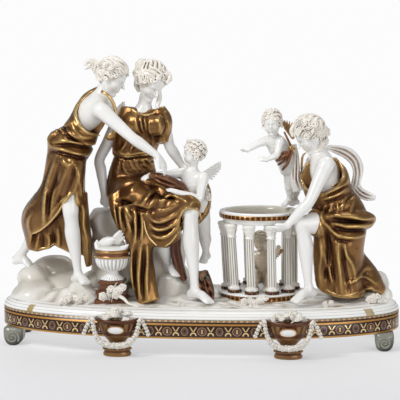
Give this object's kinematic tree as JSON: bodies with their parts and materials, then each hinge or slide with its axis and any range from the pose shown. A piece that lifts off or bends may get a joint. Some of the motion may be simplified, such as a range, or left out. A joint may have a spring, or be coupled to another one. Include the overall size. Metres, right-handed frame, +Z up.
{
  "type": "porcelain figure group",
  "caption": "Porcelain group of maidens and cupids round a colonnaded cage, in gilt drapery, on a banded oval plinth with scroll and basket feet.",
  "frame": {"origin": "middle of the plinth's outline, on the surface that the feet stand on", "axes": "+Z up, +X along the plinth to the viewer's right, -Y towards the viewer"},
  "size_m": [0.48, 0.223, 0.3461],
  "materials": {
    "glazed_porcelain": "clear-glazed white hard-paste porcelain",
    "gilt_drapery": "burnished bronze-gold lustre over glaze, dark brown in the folds",
    "banded_plinth": "glazed porcelain with a painted brown and gold ornamental band between white mouldings",
    "modelled_flowers": "hand-modelled cream flowers, thinly glazed",
    "grey_glaze": "glazed porcelain with a grey shadow wash"
  },
  "bodies": {
    "root": {"plinth": "banded_plinth", "cage_floor": "banded_plinth", "cage_rim": "banded_plinth", "caged_cupid": "glazed_porcelain", "rim_cupid": "glazed_porcelain", "lap_cupid": "glazed_porcelain", "kneeling_maiden": "gilt_drapery", "seated_maiden": "gilt_drapery", "standing_maiden": "gilt_drapery", "brazier_block": "gilt_drapery", "brazier": "glazed_porcelain", "doves": "glazed_porcelain", "ground": "glazed_porcelain", "basket_foot_front_left": "gilt_drapery", "scroll_foot_front_left": "grey_glaze", "basket_foot_front_right": "gilt_drapery", "scroll_foot_front_right": "grey_glaze", "basket_foot_back_left": "gilt_drapery", "scroll_foot_back_left": "grey_glaze", "basket_foot_back_right": "gilt_drapery", "scroll_foot_back_right": "grey_glaze", "cage_column_1": "glazed_porcelain", "cage_column_2": "glazed_porcelain", "cage_column_3": "glazed_porcelain", "cage_column_4": "glazed_porcelain", "cage_column_5": "glazed_porcelain", "cage_column_6": "glazed_porcelain", "cage_column_7": "glazed_porcelain", "cage_column_8": "glazed_porcelain", "cage_column_9": "glazed_porcelain", "cage_column_10": "glazed_porcelain", "flowers_left": "modelled_flowers", "flowers_brazier": "modelled_flowers", "flowers_cage": "modelled_flowers", "flowers_right": "modelled_flowers"}
  },
  "joints": []
}
